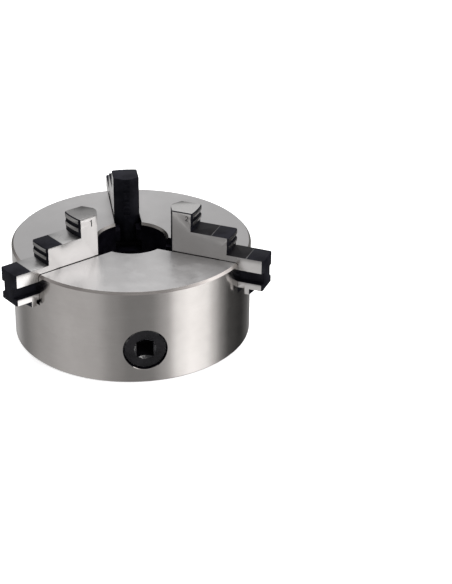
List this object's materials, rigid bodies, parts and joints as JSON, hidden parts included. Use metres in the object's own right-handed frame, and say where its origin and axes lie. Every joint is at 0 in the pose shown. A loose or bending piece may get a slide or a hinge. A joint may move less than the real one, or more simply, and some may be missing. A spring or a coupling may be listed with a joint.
{
  "type": "lathe chuck",
  "caption": "Self-centring scroll chuck for a lathe: round steel body, stepped solid jaws in radial slots, key-driven pinions, through bore.",
  "frame": {"origin": "on the chuck's axis, in the plane of the rear mounting face", "axes": "+Z along the chuck's axis towards the jaws; +Y along jaw_3, so jaw_1 is at 210 and jaw_2 at 330 degrees from +X, and the pinions are at 30, 150 and 270 degrees"},
  "size_m": [0.1758, 0.1765, 0.0942],
  "materials": {
    "body_steel": "ground and turned, satin",
    "jaw_steel": "black oxide, ground bright on the gripping and guiding faces",
    "pinion_steel": "black oxide",
    "scroll_steel": "hardened and turned",
    "cover_iron": "turned",
    "screw_steel": "black oxide"
  },
  "bodies": {
    "body": {"chuck_body": "body_steel", "back_cover": "cover_iron", "pinion_retaining_screw_1": "screw_steel", "pinion_retaining_screw_2": "screw_steel", "pinion_retaining_screw_3": "screw_steel", "cover_screw_1": "screw_steel", "cover_screw_2": "screw_steel", "cover_screw_3": "screw_steel", "cover_screw_4": "screw_steel", "cover_screw_5": "screw_steel", "cover_screw_6": "screw_steel"},
    "scroll": {"scroll_plate": "scroll_steel"},
    "jaw_1": {"jaw_1": "jaw_steel"},
    "jaw_2": {"jaw_2": "jaw_steel"},
    "jaw_3": {"jaw_3": "jaw_steel"},
    "pinion_1": {"pinion_1": "pinion_steel"},
    "pinion_2": {"pinion_2": "pinion_steel"},
    "pinion_3": {"pinion_3": "pinion_steel"}
  },
  "joints": [
    {"name": "scroll_turn", "type": "hinge", "parent": "body", "child": "scroll", "pos_m": [0, 0, 0.043], "axis": [0, 0, 1], "range_deg": [-324, 1242]},
    {"name": "jaw_1_slide", "type": "slide", "parent": "body", "child": "jaw_1", "axis": [-0.866, -0.5, 0], "range_m": [-0.0276, 0.0072]},
    {"name": "jaw_2_slide", "type": "slide", "parent": "body", "child": "jaw_2", "axis": [0.866, -0.5, 0], "range_m": [-0.0276, 0.0072]},
    {"name": "jaw_3_slide", "type": "slide", "parent": "body", "child": "jaw_3", "axis": [0, 1, 0], "range_m": [-0.0276, 0.0072]},
    {"name": "pinion_1_turn", "type": "hinge", "parent": "body", "child": "pinion_1", "pos_m": [0.06062, 0.035, 0.0236], "axis": [0.866, 0.5, 0], "range_deg": [-6334.2, 1652.4]},
    {"name": "pinion_2_turn", "type": "hinge", "parent": "body", "child": "pinion_2", "pos_m": [-0.06062, 0.035, 0.0236], "axis": [-0.866, 0.5, 0], "range_deg": [-6334.2, 1652.4]},
    {"name": "pinion_3_turn", "type": "hinge", "parent": "body", "child": "pinion_3", "pos_m": [0, -0.07, 0.0236], "axis": [0, -1, 0], "range_deg": [-6334.2, 1652.4]}
  ],
  "couplings": [
    {"joint": "jaw_1_slide", "follows": "scroll_turn", "m_per_rad": -0.0012732},
    {"joint": "jaw_2_slide", "follows": "scroll_turn", "m_per_rad": -0.0012732},
    {"joint": "jaw_3_slide", "follows": "scroll_turn", "m_per_rad": -0.0012732},
    {"joint": "pinion_1_turn", "follows": "scroll_turn", "ratio": -5.1},
    {"joint": "pinion_2_turn", "follows": "scroll_turn", "ratio": -5.1},
    {"joint": "pinion_3_turn", "follows": "scroll_turn", "ratio": -5.1}
  ]
}
